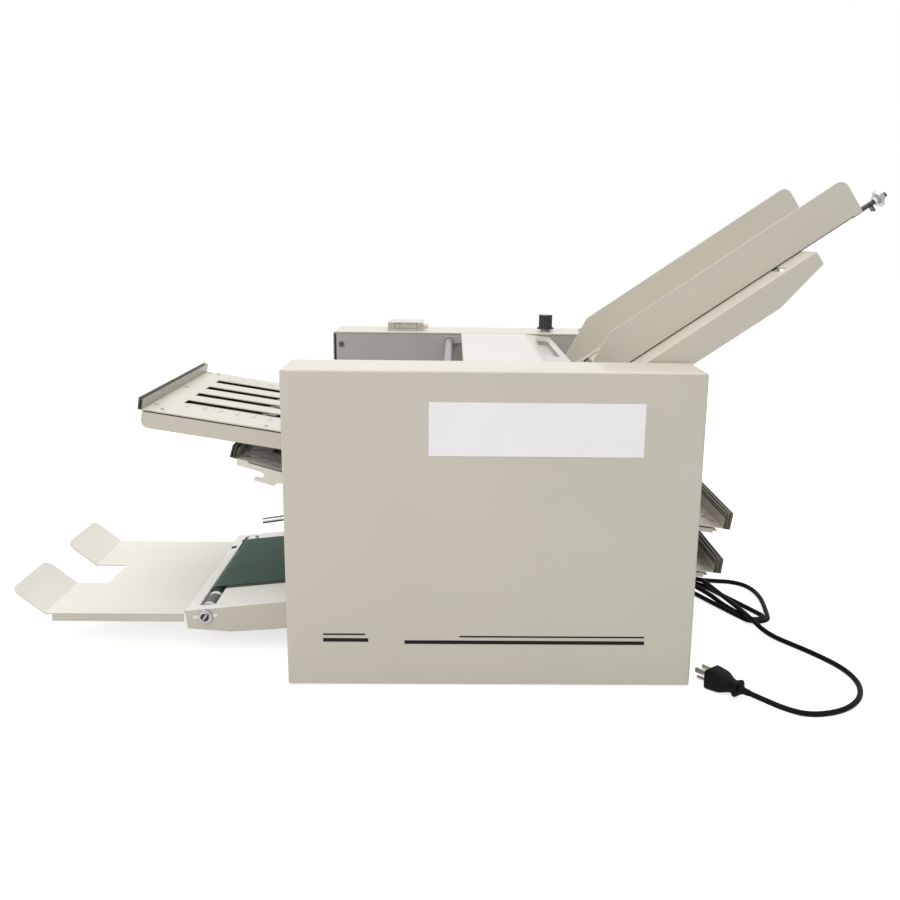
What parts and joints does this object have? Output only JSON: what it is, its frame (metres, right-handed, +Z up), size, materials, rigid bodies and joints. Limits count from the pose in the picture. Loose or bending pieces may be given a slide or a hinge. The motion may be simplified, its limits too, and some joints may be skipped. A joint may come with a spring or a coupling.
{
  "type": "paper folding machine",
  "caption": "Desk paper folding machine with a sloping feed table and paper guides, slotted fold plates with sliding stops, geared fold rollers, a belt delivery, a tray and a cord with plug",
  "frame": {"origin": "Middle of the machine's box on the surface that the feet stand on; the free cord isn't counted", "axes": "+X from the receiving tray towards the feed table, +Y from the labelled cover towards the cover with the controls, +Z up"},
  "size_m": [1.039, 0.5446, 0.5724],
  "materials": {
    "cover_paint": "satin",
    "frame_paint": "satin",
    "hood_paint": "satin",
    "sheet_paint": "satin",
    "rubber": "matt",
    "steel": "brushed",
    "bright": "polished",
    "label_white": "matt",
    "ink_black": "matt",
    "motor_case": "satin",
    "bar_aluminium": "anodised",
    "plain_aluminium": "turned",
    "belt_green": "matt",
    "dark_plastic": "matt",
    "counter_grey": "gloss",
    "counter_clear": "clear",
    "counter_white": "matt",
    "switch_black": "gloss",
    "board_green": "matt"
  },
  "bodies": {
    "machine": {"base_plate": "frame_paint", "bearings": "steel", "conveyor_belt": "belt_green", "conveyor_frame": "sheet_paint", "cord_gland": "rubber", "cord_hank": "rubber", "cord_lead": "rubber", "cord_run": "rubber", "counter_case": "counter_grey", "counter_window": "counter_clear", "drive_motor": "motor_case", "electrics": "board_green", "far_side_cover": "cover_paint", "far_side_frame": "frame_paint", "feed_table": "sheet_paint", "fold_plate_1": "sheet_paint", "fold_plate_2": "sheet_paint", "fold_plate_3": "sheet_paint", "fold_plate_4": "sheet_paint", "frame_screws": "steel", "frame_spacers": "plain_aluminium", "idler_shaft": "steel", "infeed_guide": "frame_paint", "label_plate": "label_white", "lower_sheets": "sheet_paint", "near_side_cover": "cover_paint", "near_side_frame": "frame_paint", "plate_end_bars": "bar_aluminium", "plug": "rubber", "printed_bars": "ink_black", "rubber_feet": "rubber", "separator_pad": "rubber", "switch_bezel": "switch_black", "tie_rods": "bright", "timing_belts": "rubber"},
    "near_guide": {"near_paper_guide": "sheet_paint", "adjust_rod": "dark_plastic"},
    "far_guide": {"far_paper_guide": "sheet_paint"},
    "adjuster": {"adjust_nut": "bright"},
    "hood": {"hood": "hood_paint"},
    "motor_pinion": {"motor_pinion": "steel"},
    "feed_roller": {"feed_roller": "rubber"},
    "drive_roller": {"drive_roller": "plain_aluminium"},
    "idler_roller": {"idler_roller": "plain_aluminium"},
    "press_arm": {"press_arm": "steel"},
    "press_wheels": {"press_wheels": "dark_plastic"},
    "speed_knob": {"speed_knob": "dark_plastic"},
    "rocker": {"rocker": "switch_black"},
    "counter_wheels": {"counter_wheels": "counter_white"},
    "receiving_tray": {"receiving_tray": "sheet_paint"},
    "fold_roller_1": {"fold_roller_1": "steel"},
    "fold_roller_2": {"fold_roller_2": "steel"},
    "fold_roller_3": {"fold_roller_3": "steel"},
    "fold_roller_4": {"fold_roller_4": "steel"},
    "fold_roller_5": {"fold_roller_5": "steel"},
    "fold_roller_6": {"fold_roller_6": "steel"},
    "stop_1": {"stop_1": "steel"},
    "stop_2": {"stop_2": "steel"},
    "stop_3": {"stop_3": "steel"},
    "stop_4": {"stop_4": "steel"}
  },
  "joints": [
    {"name": "fold_roller_1_spin", "type": "hinge", "parent": "machine", "child": "fold_roller_1", "pos_m": [0.00762, -0.00375, 0.264], "axis": [0, 1, 0], "continuous": true},
    {"name": "fold_roller_2_spin", "type": "hinge", "parent": "machine", "child": "fold_roller_2", "pos_m": [0.02962, -0.00375, 0.23], "axis": [0, 1, 0], "continuous": true},
    {"name": "fold_roller_3_spin", "type": "hinge", "parent": "machine", "child": "fold_roller_3", "pos_m": [0.00762, -0.00375, 0.196], "axis": [0, 1, 0], "continuous": true},
    {"name": "fold_roller_4_spin", "type": "hinge", "parent": "machine", "child": "fold_roller_4", "pos_m": [0.02962, -0.00375, 0.162], "axis": [0, 1, 0], "continuous": true},
    {"name": "fold_roller_5_spin", "type": "hinge", "parent": "machine", "child": "fold_roller_5", "pos_m": [0.00762, -0.00375, 0.128], "axis": [0, 1, 0], "continuous": true},
    {"name": "fold_roller_6_spin", "type": "hinge", "parent": "machine", "child": "fold_roller_6", "pos_m": [0.02962, -0.00375, 0.094], "axis": [0, 1, 0], "continuous": true},
    {"name": "motor_spin", "type": "hinge", "parent": "machine", "child": "motor_pinion", "pos_m": [0.06187, -0.17675, 0.094], "axis": [0, 1, 0], "continuous": true},
    {"name": "feed_roller_spin", "type": "hinge", "parent": "machine", "child": "feed_roller", "pos_m": [0.13422, -0.00375, 0.325], "axis": [0, 1, 0], "continuous": true},
    {"name": "drive_roller_spin", "type": "hinge", "parent": "machine", "child": "drive_roller", "pos_m": [-0.04339, -0.00375, 0.07306], "axis": [0, 1, 0], "continuous": true},
    {"name": "idler_roller_spin", "type": "hinge", "parent": "machine", "child": "idler_roller", "pos_m": [-0.28605, -0.00375, 0.04756], "axis": [0, 1, 0], "continuous": true},
    {"name": "near_guide_slide", "type": "slide", "parent": "machine", "child": "near_guide", "axis": [0, 1, 0], "range_m": [-0.038, 0.075]},
    {"name": "far_guide_slide", "type": "slide", "parent": "machine", "child": "far_guide", "axis": [0, -1, 0], "range_m": [-0.038, 0.075]},
    {"name": "adjuster_spin", "type": "hinge", "parent": "near_guide", "child": "adjuster", "pos_m": [0.5046, -0.10095, 0.55038], "axis": [0.8248, 0, 0.5654], "continuous": true},
    {"name": "hood_hinge", "type": "hinge", "parent": "machine", "child": "hood", "pos_m": [0.00712, -0.00375, 0.354], "axis": [0, -1, 0], "range_deg": [0, 95]},
    {"name": "press_arm_hinge", "type": "hinge", "parent": "machine", "child": "press_arm", "pos_m": [-0.09138, 0.00225, 0.147], "axis": [0, 1, 0], "range_deg": [0, 35]},
    {"name": "press_wheel_spin", "type": "hinge", "parent": "press_arm", "child": "press_wheels", "pos_m": [-0.14938, 0.00225, 0.09106], "axis": [0, 1, 0], "continuous": true},
    {"name": "speed_knob_turn", "type": "hinge", "parent": "machine", "child": "speed_knob", "pos_m": [0.15162, 0.18625, 0.366], "axis": [0, 0, 1], "range_deg": [0, 300]},
    {"name": "rocker_tilt", "type": "hinge", "parent": "machine", "child": "rocker", "pos_m": [0.21462, 0.20225, 0.367], "axis": [0, -1, 0], "range_deg": [0, 16]},
    {"name": "counter_spin", "type": "hinge", "parent": "machine", "child": "counter_wheels", "pos_m": [-0.08238, 0.17305, 0.3735], "axis": [1, 0, 0], "continuous": true},
    {"name": "stop_1_slide", "type": "slide", "parent": "machine", "child": "stop_1", "axis": [0.9882, 0, -0.153], "range_m": [-0.09, 0.14]},
    {"name": "stop_2_slide", "type": "slide", "parent": "machine", "child": "stop_2", "axis": [-0.99, 0, 0.1409], "range_m": [-0.08, 0.11]},
    {"name": "stop_3_slide", "type": "slide", "parent": "machine", "child": "stop_3", "axis": [0.9603, 0, -0.279], "range_m": [-0.07, 0.07]},
    {"name": "stop_4_slide", "type": "slide", "parent": "machine", "child": "stop_4", "axis": [-0.9943, 0, 0.1063], "range_m": [-0.08, 0.105]},
    {"name": "tray_slide", "type": "slide", "parent": "machine", "child": "receiving_tray", "axis": [-1, 0, 0], "range_m": [0, 0.04]}
  ],
  "couplings": [
    {"joint": "fold_roller_2_spin", "follows": "fold_roller_1_spin", "ratio": -1},
    {"joint": "fold_roller_3_spin", "follows": "fold_roller_1_spin", "ratio": 1},
    {"joint": "fold_roller_4_spin", "follows": "fold_roller_1_spin", "ratio": -1},
    {"joint": "fold_roller_5_spin", "follows": "fold_roller_1_spin", "ratio": 1},
    {"joint": "fold_roller_6_spin", "follows": "fold_roller_1_spin", "ratio": -1},
    {"joint": "motor_spin", "follows": "fold_roller_1_spin", "ratio": 1.6875},
    {"joint": "feed_roller_spin", "follows": "fold_roller_1_spin", "ratio": 1},
    {"joint": "drive_roller_spin", "follows": "fold_roller_1_spin", "ratio": 1},
    {"joint": "idler_roller_spin", "follows": "fold_roller_1_spin", "ratio": 1}
  ]
}
